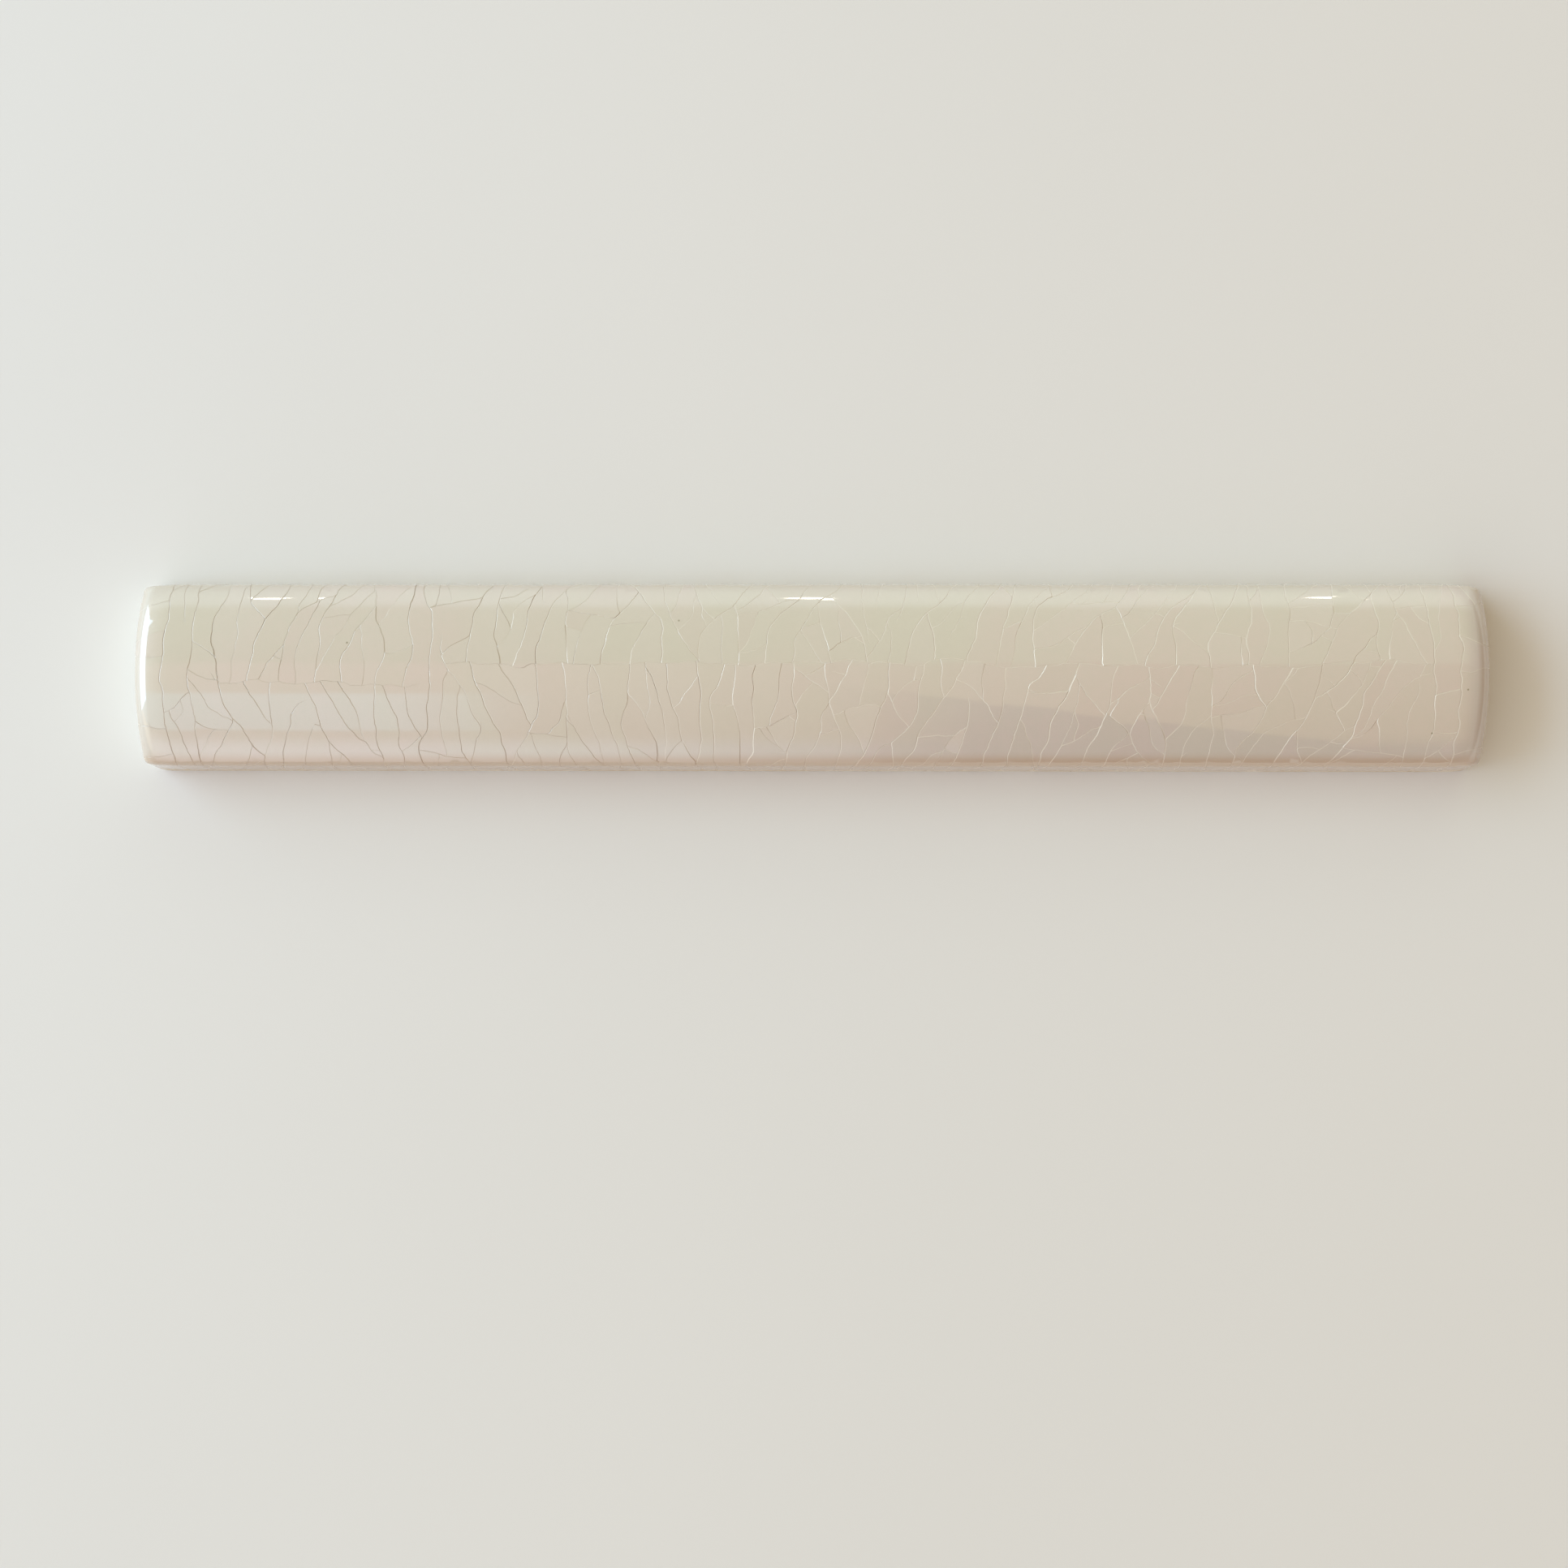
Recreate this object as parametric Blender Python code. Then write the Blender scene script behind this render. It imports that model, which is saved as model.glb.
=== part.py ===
"""Domed border tile: a pressed clay bar with drafted sides and a keyed back.

The tile lies on its back. X runs along its length, Y across its width and Z up through
its thickness. The origin is the centre of the back. All sizes are in metres.
"""

import math

import bmesh
import bpy

# Overall form, with the width at the foot of the drafted sides
LENGTH = 0.150
WIDTH = 0.0214
EDGE_HEIGHT = 0.0055
DOME_RISE = 0.0035
SIDE_DRAFT = 0.0007

# Rounds that soften the face: along both sides, and over both ends
SHOULDER_RADIUS = 0.0012
END_ROLL_RADIUS = 0.0022
END_SIDE_EASE = 0.0005

# Pressed back: an arris along each side, and key grooves that grip the adhesive, with
# flat lands between the grooves and wider ones beside them and past their ends
BACK_ARRIS = 0.0005
KEY_COUNT = 4
KEY_LAND = 0.0018
KEY_SIDE_LAND = 0.00275
KEY_END_LAND = 0.0065
KEY_DEPTH = 0.0008
KEY_DRAFT = 0.0003
CUTTER_OVERRUN = 0.001

# Steps along each round
DOME_STEPS = 32
SHOULDER_STEPS = 7
ROLL_STEPS = 8

# Merging distance and coplanar angle for tidying the extruded bar
WELD = 0.00001
FLAT_ANGLE = math.radians(0.5)
SHARP_ANGLE = math.radians(30)

# Material slots on the tile
GLAZED, BARE = 0, 1


def clear_scene():
    """Remove whatever the scene starts with."""
    for obj in list(bpy.data.objects):
        bpy.data.objects.remove(obj, do_unlink=True)


def new_collection(name):
    """Make a collection under the scene's own."""
    collection = bpy.data.collections.new(name)
    bpy.context.scene.collection.children.link(collection)
    return collection


def new_material(name, colour, roughness):
    """A non-metallic finish of one colour."""
    material = bpy.data.materials.new(name)
    material.use_nodes = True
    shader = material.node_tree.nodes["Principled BSDF"]
    shader.inputs["Base Color"].default_value = (*colour, 1.0)
    shader.inputs["Roughness"].default_value = roughness
    shader.inputs["Metallic"].default_value = 0.0
    return material


def tile_materials():
    """Ivory glaze for the face and bare fired clay for the back, in slot order."""
    return [
        new_material("ivory_glaze", (0.72, 0.66, 0.57), 0.12),
        new_material("bare_clay", (0.70, 0.60, 0.48), 0.85),
    ]


def arc(centre, radius, start, end, steps):
    """Points (y, z) on an arc of the section, by angle from the Y axis, ends included."""
    angles = [start + (end - start) * i / steps for i in range(steps + 1)]
    return [(centre[0] + radius * math.cos(a), centre[1] + radius * math.sin(a)) for a in angles]


def section_outline():
    """The tile's cross-section as (y, z) points, anticlockwise from the foot of the +Y side.

    The sides lean inwards as they rise, so that the tile draws out of its mould, and a
    shallow dome springs from them. A fillet that is tangent to both rounds each shoulder.
    """
    half = WIDTH / 2
    edge = half - SIDE_DRAFT
    lean = math.atan2(SIDE_DRAFT, EDGE_HEIGHT - BACK_ARRIS)
    dome_radius = (edge**2 + DOME_RISE**2) / (2 * DOME_RISE)
    dome_centre_z = EDGE_HEIGHT + DOME_RISE - dome_radius

    # The fillet's centre lies one fillet radius inside both the side and the dome.
    reach = dome_radius - SHOULDER_RADIUS
    side_gap = edge * math.cos(lean) + (EDGE_HEIGHT - dome_centre_z) * math.sin(lean)
    tangent = lean + math.acos((side_gap - SHOULDER_RADIUS) / reach)
    fillet = (reach * math.cos(tangent), dome_centre_z + reach * math.sin(tangent))

    foot = [(half - BACK_ARRIS, 0), (half, BACK_ARRIS)]
    shoulder = arc(fillet, SHOULDER_RADIUS, lean, tangent, SHOULDER_STEPS)
    dome = arc((0, dome_centre_z), dome_radius, tangent, math.pi - tangent, DOME_STEPS)
    far_side = [(-y, z) for y, z in reversed(foot + shoulder)]
    return foot + shoulder + dome[1:-1] + far_side


def extruded_bar(points, length):
    """A section outline extruded along X, centred on the origin, as a welded bmesh."""
    curve = bpy.data.curves.new("section", "CURVE")
    curve.dimensions = "2D"
    curve.fill_mode = "BOTH"
    curve.extrude = length / 2
    spline = curve.splines.new("POLY")
    spline.points.add(len(points) - 1)
    for point, (y, z) in zip(spline.points, points):
        point.co = (y, z, 0, 1)
    spline.use_cyclic_u = True

    # The curve is drawn flat in its own XY plane, which this turns to face along X.
    drawn = bpy.data.objects.new("section", curve)
    drawn.rotation_euler = (math.pi / 2, 0, math.pi / 2)
    bpy.context.scene.collection.objects.link(drawn)
    bpy.context.view_layer.update()
    evaluated = drawn.evaluated_get(bpy.context.evaluated_depsgraph_get())
    mesh = bpy.data.meshes.new_from_object(evaluated)
    mesh.transform(drawn.matrix_world)
    bpy.data.objects.remove(drawn, do_unlink=True)

    bar = bmesh.new()
    bar.from_mesh(mesh)
    bpy.data.meshes.remove(mesh)
    bmesh.ops.remove_doubles(bar, verts=bar.verts, dist=WELD)
    bmesh.ops.dissolve_limit(bar, angle_limit=FLAT_ANGLE, verts=bar.verts, edges=bar.edges)
    return bar


def roll_over_end(bar, side):
    """Round the face over one end of the bar: each ring steps out along X and draws in.

    The crown follows a quarter circle of END_ROLL_RADIUS down to the upright end face.
    The sides draw in by only END_SIDE_EASE, and the back stays flat.
    """
    height = EDGE_HEIGHT + DOME_RISE
    half = WIDTH / 2
    cap = max(bar.faces, key=lambda face: side * face.calc_center_median().x)
    reach, drop, ease = 0.0, 0.0, 0.0
    for step in range(1, ROLL_STEPS + 1):
        angle = math.pi / 2 * step / ROLL_STEPS
        next_reach = END_ROLL_RADIUS * math.sin(angle)
        next_drop = END_ROLL_RADIUS * (1 - math.cos(angle))
        next_ease = END_SIDE_EASE * (1 - math.cos(angle))
        cap = bmesh.ops.extrude_discrete_faces(bar, faces=[cap])["faces"][0]
        ring = list(cap.verts)
        bmesh.ops.translate(bar, vec=(side * (next_reach - reach), 0, 0), verts=ring)
        narrower = (half - next_ease) / (half - ease)
        lower = (height - next_drop) / (height - drop)
        bmesh.ops.scale(bar, vec=(1, narrower, lower), verts=ring)
        reach, drop, ease = next_reach, next_drop, next_ease


def key_cutter(name, y, width, collection, materials):
    """A long block with drafted sides that presses one key groove into the back at Y = y."""
    groove_length = LENGTH - 2 * KEY_END_LAND
    height = KEY_DEPTH + CUTTER_OVERRUN
    flare = KEY_DRAFT * CUTTER_OVERRUN / KEY_DEPTH
    block = bmesh.new()
    bmesh.ops.create_cube(block, size=1)
    bmesh.ops.scale(block, vec=(groove_length, width, height), verts=block.verts)
    for vert in block.verts:
        inset = KEY_DRAFT if vert.co.z > 0 else -flare
        vert.co.x -= math.copysign(1, vert.co.x) * inset
        vert.co.y -= math.copysign(1, vert.co.y) * inset
    for face in block.faces:
        face.material_index = BARE
    mesh = bpy.data.meshes.new(name)
    block.to_mesh(mesh)
    block.free()
    for material in materials:
        mesh.materials.append(material)

    cutter = bpy.data.objects.new(name, mesh)
    cutter.location = (0, y, KEY_DEPTH - height / 2)
    cutter.display_type = "WIRE"
    cutter.hide_render = True
    collection.objects.link(cutter)
    return cutter


def border_tile(parts, cutters):
    """The whole tile: domed bar, ends rolled over, keys pressed into the back."""
    materials = tile_materials()
    bar = extruded_bar(section_outline(), LENGTH - 2 * END_ROLL_RADIUS)
    for side in (-1, 1):
        roll_over_end(bar, side)
    bmesh.ops.recalc_face_normals(bar, faces=bar.faces)
    for face in bar.faces:
        face.material_index = BARE if face.normal.z < -math.sin(SHARP_ANGLE) else GLAZED
    mesh = bpy.data.meshes.new("border_tile")
    bar.to_mesh(mesh)
    bar.free()
    for material in materials:
        mesh.materials.append(material)
    mesh.shade_smooth()
    mesh.set_sharp_from_angle(angle=SHARP_ANGLE)
    tile = bpy.data.objects.new("border_tile", mesh)
    parts.objects.link(tile)

    key_width = (WIDTH - 2 * KEY_SIDE_LAND - (KEY_COUNT - 1) * KEY_LAND) / KEY_COUNT
    for index in range(KEY_COUNT):
        y = (index - (KEY_COUNT - 1) / 2) * (key_width + KEY_LAND)
        cut = tile.modifiers.new(f"key_{index + 1}", "BOOLEAN")
        cut.operation = "DIFFERENCE"
        cut.object = key_cutter(f"key_cutter_{index + 1}", y, key_width, cutters, materials)
    return tile


def main():
    clear_scene()
    parts = new_collection("border_tile")
    cutters = new_collection("cutters")
    border_tile(parts, cutters)


main()
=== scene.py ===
"""Crackle-glazed border tile: the glaze over the pressed bar, its bare clay and the studio.

Sizes are in metres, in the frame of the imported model: X along the tile, Y across it and Z
out of its flat back. The glaze is drawn first on a flat map of the tile's face. A point on
that map is a distance along the tile and a distance across the section, both from the
middle of the crown, as if the face were unrolled. The crackle grows on the same map.
"""

import math
import random

import bpy
import numpy as np
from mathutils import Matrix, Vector, geometry, kdtree, noise


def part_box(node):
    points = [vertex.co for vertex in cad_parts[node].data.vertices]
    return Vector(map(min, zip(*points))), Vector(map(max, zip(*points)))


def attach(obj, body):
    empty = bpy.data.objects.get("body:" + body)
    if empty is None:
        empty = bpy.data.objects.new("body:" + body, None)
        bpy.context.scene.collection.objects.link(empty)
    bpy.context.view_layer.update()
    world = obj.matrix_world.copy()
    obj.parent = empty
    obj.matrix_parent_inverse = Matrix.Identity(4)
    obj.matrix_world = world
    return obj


bl_info = {
    "name": "Crackle Glaze Border Tile",
    "version": (1, 0, 0),
    "blender": (4, 5, 0),
    "location": "View3D > Sidebar > Border Tile",
    "description": "Glazes and crazes a domed border tile and lays it out in a soft studio",
    "category": "Object",
}

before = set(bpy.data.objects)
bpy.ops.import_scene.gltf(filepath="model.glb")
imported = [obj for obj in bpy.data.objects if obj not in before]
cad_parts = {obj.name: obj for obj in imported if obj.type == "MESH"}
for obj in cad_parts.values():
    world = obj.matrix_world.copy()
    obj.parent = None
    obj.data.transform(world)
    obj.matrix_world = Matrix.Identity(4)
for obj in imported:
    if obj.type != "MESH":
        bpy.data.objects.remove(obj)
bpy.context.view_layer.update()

# The pressed bar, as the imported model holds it
BAR_LOW, BAR_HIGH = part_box("border_tile")
BAR_LENGTH, BAR_WIDTH, BAR_HEIGHT = BAR_HIGH - BAR_LOW

# The photograph is square, this many pixels a side
PHOTO_PIXELS = 1932

MM = 0.001
QUARTER_TURN = math.pi / 2

# Room for rounding where two lengths on the map are compared, and the least distance
# between two places on it
ROUNDING = 1e-9
SAME_PLACE = 1e-8


class BarShape(bpy.types.PropertyGroup):
    """Sizes of the pressed bar that the glaze has to follow."""

    dome_rise: bpy.props.FloatProperty(
        name="Dome rise", description="Height of the crown above the top of the sides",
        default=3.5 * MM, min=0.1 * MM, unit="LENGTH", precision=4)
    shoulder_radius: bpy.props.FloatProperty(
        name="Shoulder radius", description="Fillet between each side and the dome",
        default=1.2 * MM, min=0.1 * MM, unit="LENGTH", precision=4)
    end_roll: bpy.props.FloatProperty(
        name="End roll", description="Radius that rounds the crown over each end",
        default=2.2 * MM, min=0.1 * MM, unit="LENGTH", precision=4)
    side_ease: bpy.props.FloatProperty(
        name="Side ease", description="How far each side draws in over an end",
        default=0.5 * MM, min=0.0, unit="LENGTH", precision=4)
    side_draft: bpy.props.FloatProperty(
        name="Side draft", description="How far each side leans in from its foot to its top",
        default=0.7 * MM, min=0.0, unit="LENGTH", precision=4)
    back_arris: bpy.props.FloatProperty(
        name="Back arris", description="Bevel along the foot of each side",
        default=0.5 * MM, min=0.0, unit="LENGTH", precision=4)


class GlazeCoat(bpy.types.PropertyGroup):
    """Sizes and colours of the glaze."""

    thickness: bpy.props.FloatProperty(
        name="Thickness", description="How far the glaze stands proud of the clay",
        default=0.12 * MM, min=0.02 * MM, unit="LENGTH", precision=5)
    drawn: bpy.props.FloatProperty(
        name="Drawn back", description="How much thinner the glaze lies over the end rolls",
        default=0.10 * MM, min=0.0, unit="LENGTH", precision=5)
    line_height: bpy.props.FloatProperty(
        name="Glaze line", description="Height above the back at which the glaze stops",
        default=2.1 * MM, min=0.5 * MM, unit="LENGTH", precision=4)
    line_wave: bpy.props.FloatProperty(
        name="Line wave", description="How far the glaze line strays up and down",
        default=0.18 * MM, min=0.0, unit="LENGTH", precision=5)
    bead: bpy.props.FloatProperty(
        name="Bead", description="Extra thickness where the glaze gathers at its line",
        default=0.026 * MM, min=0.0, unit="LENGTH", precision=5)
    ripple: bpy.props.FloatProperty(
        name="Ripple", description="Height of the slow waves left in the fired glaze",
        default=0.004 * MM, min=0.0, unit="LENGTH", precision=6)
    ivory: bpy.props.FloatVectorProperty(
        name="Ivory", description="Colour of the glaze where it is even",
        default=(0.66, 0.615, 0.54), subtype="COLOR", min=0.0, max=1.0)
    blush: bpy.props.FloatVectorProperty(
        name="Blush", description="Warmer tone that the glaze drifts to in patches",
        default=(0.67, 0.60, 0.54), subtype="COLOR", min=0.0, max=1.0)
    # Also painted shade: this browner tone is laid down the whole front shoulder and side to
    # darken them
    thin: bpy.props.FloatVectorProperty(
        name="Thin glaze", description="Browner tone where the glaze runs thin over the rounds",
        default=(0.54, 0.40, 0.28), subtype="COLOR", min=0.0, max=1.0)
    # Painted shade: this darker tone makes the craze lines read dark towards the left end and on
    # walls that face right
    shaded_craze: bpy.props.FloatVectorProperty(
        name="Shaded craze line", description="Colour inside the craze lines at the left end",
        default=(0.55, 0.49, 0.41), subtype="COLOR", min=0.0, max=1.0)
    # Painted light: this paler tone makes the craze lines read light towards the right end and on
    # walls that face the window on the left
    clean: bpy.props.FloatVectorProperty(
        name="Lit craze line", description="Colour inside the craze lines at the right end",
        default=(0.71, 0.66, 0.575), subtype="COLOR", min=0.0, max=1.0)
    gloss: bpy.props.FloatProperty(
        name="Gloss roughness", description="Roughness of the glassy top of the glaze",
        default=0.04, min=0.0, max=1.0)


class CrazeNet(bpy.types.PropertyGroup):
    """Spacing, direction and section of the craze lines."""

    seed: bpy.props.IntProperty(
        name="Seed", description="Another number gives another net", default=11)
    closest: bpy.props.FloatProperty(
        name="Closest", description="Least distance between neighbours along the crown",
        default=2.8 * MM, min=0.5 * MM, unit="LENGTH", precision=4)
    widest: bpy.props.FloatProperty(
        name="Widest", description="Greatest distance between neighbours along the crown",
        default=4.6 * MM, min=0.5 * MM, unit="LENGTH", precision=4)
    room: bpy.props.FloatProperty(
        name="Room", description="A patch with more room than this round a point splits",
        default=1.45 * MM, min=0.5 * MM, unit="LENGTH", precision=4)
    bridges: bpy.props.IntProperty(
        name="Bridges", description="Short cracks that join the sides of longer ones",
        default=260, min=0)
    rim_cracks: bpy.props.IntProperty(
        name="Rim cracks", description="Cracks that start at the sides and run inwards",
        default=36, min=0)
    width: bpy.props.FloatProperty(
        name="Width", description="Width of a main craze line",
        default=0.15 * MM, min=0.02 * MM, unit="LENGTH", precision=5)
    depth: bpy.props.FloatProperty(
        name="Depth", description="Depth of a main craze line",
        default=0.026 * MM, min=0.0, unit="LENGTH", precision=5)
    tilt: bpy.props.FloatProperty(
        name="Tilt", description="How far a patch of glaze between cracks leans",
        default=math.radians(0.5), min=0.0, unit="ROTATION")


class ClayFinish(bpy.types.PropertyGroup):
    """Colours of the bare fired clay."""

    body: bpy.props.FloatVectorProperty(
        name="Clay", description="Colour of the fired body",
        default=(0.70, 0.60, 0.47), subtype="COLOR", min=0.0, max=1.0)
    dust: bpy.props.FloatVectorProperty(
        name="Dust", description="Paler bloom over the body",
        default=(0.78, 0.71, 0.60), subtype="COLOR", min=0.0, max=1.0)
    fleck: bpy.props.FloatVectorProperty(
        name="Fleck", description="Iron flecks in the body",
        default=(0.33, 0.22, 0.14), subtype="COLOR", min=0.0, max=1.0)


class StudioSetup(bpy.types.PropertyGroup):
    """The table, the light and the camera."""

    camera_height: bpy.props.FloatProperty(
        name="Camera height", description="Height of the lens above the table",
        default=0.2013, min=0.01, unit="LENGTH", precision=4)
    table: bpy.props.FloatVectorProperty(
        name="Table", description="Colour of the table top",
        default=(0.788, 0.785, 0.776), subtype="COLOR", min=0.0, max=1.0)
    window_power: bpy.props.FloatProperty(
        name="Window power", description="Power of the large soft light on the left",
        default=9.7, min=0.0, unit="POWER")
    lamp_power: bpy.props.FloatProperty(
        name="Lamp power", description="Power of each small lamp in the far row",
        default=0.1, min=0.0, unit="POWER")


def settings(name):
    """One of this file's property groups on the scene."""
    return getattr(bpy.context.scene, f"border_tile_{name}")


# The face and its unrolled map


# Roundness of the glaze's lower lip, fall of its bead, the length over which it thins
# towards each end roll, and the length of its slow waves
LIP_HEIGHT = 0.14 * MM
BEAD_FALL = 0.55 * MM
DRAW_LENGTH = 2.0 * MM
RIPPLE_LENGTH = 7 * MM
WAVE_LENGTHS = (11 * MM, 4.4 * MM)

# Step for finding a normal by differences, and the least area that gives one
NUDGE = 0.02 * MM
LEAST_AREA = 1e-16

# Moves the second layer of noise away from the first
FAR_OFF = Vector((31.7, 12.9, 5.3))


class Face:
    """The face of the bar: a domed section, rolled over both ends, down to the glaze line.

    Past each end roll the map goes on down the upright end wall, as a flap that is only as
    wide as the dome with its shoulders.
    """

    def __init__(self, bar, coat):
        self.half_length = BAR_LENGTH / 2
        self.half_width = BAR_WIDTH / 2
        self.height = BAR_HEIGHT
        self.roll = bar.end_roll
        self.ease = bar.side_ease
        self.fillet = bar.shoulder_radius
        self.line = coat.line_height
        self.coat = coat

        # The fillet's centre lies one fillet radius inside both the side and the dome.
        rise = bar.dome_rise
        edge = self.half_width - bar.side_draft
        edge_z = self.height - rise
        self.lean = math.atan2(bar.side_draft, edge_z - bar.back_arris)
        self.dome = (edge**2 + rise**2) / (2 * rise)
        self.dome_z = self.height - self.dome
        run = self.dome - self.fillet
        side_gap = edge * math.cos(self.lean) + (edge_z - self.dome_z) * math.sin(self.lean)
        tangent = self.lean + math.acos((side_gap - self.fillet) / run)
        self.fillet_y = run * math.cos(tangent)
        self.fillet_z = self.dome_z + run * math.sin(tangent)
        self.spring = QUARTER_TURN - tangent
        self.steep = QUARTER_TURN - self.lean
        self.side_y = self.fillet_y + self.fillet * math.sin(self.steep)
        self.side_z = self.fillet_z + self.fillet * math.cos(self.steep)

        # Distances over the map: to the shoulder, its side and the glaze line across the
        # section, and to the roll, the end wall and the glaze line along the tile.
        self.dome_arc = self.dome * self.spring
        self.shoulder_arc = self.dome_arc + self.fillet * (self.steep - self.spring)
        self.across = self.shoulder_arc + (self.side_z - self.line) / math.cos(self.lean)
        self.flare = (self.side_z - self.line) * math.tan(self.lean) / self.side_y
        self.straight = self.half_length - self.roll
        self.roll_arc = self.straight + self.roll * QUARTER_TURN
        self.end_shrink = 1 - self.roll / self.height
        self.along = self.roll_arc + self.end_shrink * (self.height - self.line)

    def section(self, across):
        """Place and outward normal (y, z, ny, nz) on the section, by distance from the crown."""
        side = np.where(across < 0, -1.0, 1.0)
        arc = np.abs(across)
        on_dome = arc < self.dome_arc
        turned = self.spring + (arc - self.dome_arc) / self.fillet
        angle = np.where(on_dome, arc / self.dome, np.minimum(turned, self.steep))
        y = np.where(on_dome, 0, self.fillet_y)
        y = y + np.where(on_dome, self.dome, self.fillet) * np.sin(angle)
        z = np.where(on_dome, self.dome_z, self.fillet_z)
        z = z + np.where(on_dome, self.dome, self.fillet) * np.cos(angle)
        past = np.maximum(arc - self.shoulder_arc, 0)
        y = y + past * math.sin(self.lean)
        z = z - past * math.cos(self.lean)
        return side * y, z, side * np.sin(angle), np.cos(angle)

    def surface(self, along, across):
        """Points, outward normals and height above the glaze line, for places on the map."""
        y, z, ny, nz = self.section(across)
        end = np.where(along < 0, -1.0, 1.0)
        reach = np.abs(along)
        angle = np.clip((reach - self.straight) / self.roll, 0, QUARTER_TURN)
        down = np.clip((reach - self.roll_arc) / (self.along - self.roll_arc), 0, 1)
        narrow = 1 - self.ease / self.half_width * (1 - np.cos(angle))
        shrink = 1 - self.roll / self.height * (1 - np.cos(angle))

        x = np.minimum(reach, self.straight) + self.roll * np.sin(angle)
        line = shrink * self.line
        height = z * shrink * (1 - down) + line * down
        points = np.stack([end * x, y * narrow * (1 + self.flare * down), height], axis=1)

        # The normal is square to the step round the roll and the step across the section.
        roll_x = self.roll * np.cos(angle)
        roll_y = -y * self.ease / self.half_width * np.sin(angle)
        roll_z = -z * self.roll / self.height * np.sin(angle)
        step_y, step_z = nz * narrow, -ny * shrink
        normals = np.stack(
            [end * (roll_y * step_z - roll_z * step_y), -roll_x * step_z, roll_x * step_y], axis=1)
        normals /= np.linalg.norm(normals, axis=1)[:, None]
        return points, normals, height - line

    def glazed(self, along, across, extra):
        """Points on the top of the glaze, with `extra` thickness at each place."""
        points, normals, above = self.surface(along, across)
        coat = self.coat

        # At its line the glaze tucks as far into the clay as it stands proud of it above.
        tuck = coat.thickness
        lip = np.clip(above / LIP_HEIGHT, 0, 1)
        rounded = np.sqrt(np.maximum(1 - (1 - lip) ** 2, 0))
        gathered = coat.bead * np.exp(-((above / BEAD_FALL) ** 2))
        drawn = coat.drawn * np.clip((np.abs(along) - self.straight) / DRAW_LENGTH + 1, 0, 1) ** 2
        ripple = coat.ripple * waves(points, RIPPLE_LENGTH, RIPPLE_LENGTH)
        lift = (coat.thickness - drawn + tuck + gathered) * rounded - tuck + ripple + extra
        moved = points + normals * lift[:, None]

        # The glaze line strays up and down, and the side above it less and less.
        fall = 1 - above / (self.side_z - self.line)
        stray = coat.line_wave * waves(points, *WAVE_LENGTHS) * smooth(fall, 0, 1)
        moved[:, 1] *= 1 - stray * math.tan(self.lean) / self.side_y
        moved[:, 2] += stray
        return moved

    def normals(self, along, across, extra, lean_along, lean_across):
        """Normals of the top of the glaze, for a patch that leans by a slope each way."""
        back = np.where(along < 0, NUDGE, -NUDGE)
        inward = np.where(across < 0, NUDGE, -NUDGE)
        here = self.glazed(along, across, extra)
        step_a = self.glazed(along + back, across, extra + back * lean_along) - here
        step_b = self.glazed(along, across + inward, extra + inward * lean_across) - here
        square = np.cross(step_a, step_b)
        _, outward, _ = self.surface(along, across)
        square *= np.sign(np.sum(square * outward, axis=1))[:, None]
        area = np.linalg.norm(square, axis=1)[:, None]
        return np.where(area > LEAST_AREA, square / np.maximum(area, LEAST_AREA), outward)

    def border_gap(self, along, across):
        """Distance on the map to the glaze line, or to an upright corner if that is nearer."""
        along, across = np.abs(along), np.abs(across)
        to_roll, to_shoulder = self.roll_arc - along, self.shoulder_arc - across
        side_corner = np.hypot(to_roll, np.maximum(to_shoulder, 0))
        flap_corner = np.hypot(np.maximum(to_roll, 0), to_shoulder)
        to_side_line = np.where(to_roll > 0, self.across - across, self.along)
        return np.minimum.reduce([side_corner, flap_corner, to_side_line, self.along - along])


def waves(points, length, second):
    """Smooth noise between about -1 and 1 at each point, from two wave lengths."""
    return np.array([
        noise.noise(Vector(p) / length) + 0.5 * noise.noise(Vector(p) / second + FAR_OFF)
        for p in points])


def smooth(value, low, high):
    """0 below low, 1 above high, and an even curve between them."""
    share = np.clip((value - low) / (high - low), 0, 1)
    return share * share * (3 - 2 * share)


# Craze lines


# Length of a step along a crack, the square that steps are sorted into, and how far from
# the glaze line and from the upright corners a crack stops
STEP = 0.4 * MM
SQUARE = 0.8 * MM
RIM_GAP = 0.5 * MM
CORNER_GAP = 0.5 * MM

# A crack that comes this near to an older one is drawn to it, once it has left its parent,
# unless it touches the older one already or that one lies aside of its way
PULL = 0.85 * MM
PULL_STEPS = 4
TOUCHING = 1e-7
LEAST_AHEAD = 0.1 * STEP

# Share of its first step after which a crack can meet an older one, and the fewest points
# that make a crack
STEP_CLEAR = 0.1
FEWEST_POINTS = 3

# How much of its sway a crack keeps at each step, and how much it may sway more
SWAY_KEPT = 0.86
SWAY = math.radians(8)

# Crown crack: it runs a little towards the back of the crown, and near the left end a
# second one runs a little towards the front
CROWN_SHIFT = 1.1 * MM
CROWNS = ((-40 * MM, 72 * MM, CROWN_SHIFT), (-65 * MM, -42 * MM, -CROWN_SHIFT))

# A crack narrows over this length towards a free end, to this share of its width
TAPER = 1.2 * MM
TIP_SHARE = 0.15

# Shares of the main width that the finer kinds of crack have, at the least and the most
MAIN_SHARES = (0.75, 1.1)
FINE_SHARES = (0.45, 0.8)
CROWN_SHARES = (0.4, 0.4)


class Crack:
    """A path on the map with a width along it, which narrows towards a free end."""

    def __init__(self, points, width, free_start, free_end):
        self.points = points
        self.widths = []
        for i in range(len(points)):
            left = TAPER
            if free_start:
                left = min(left, i * STEP)
            if free_end:
                left = min(left, (len(points) - 1 - i) * STEP)
            self.widths.append(width * (TIP_SHARE + (1 - TIP_SHARE) * left / TAPER))


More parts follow.
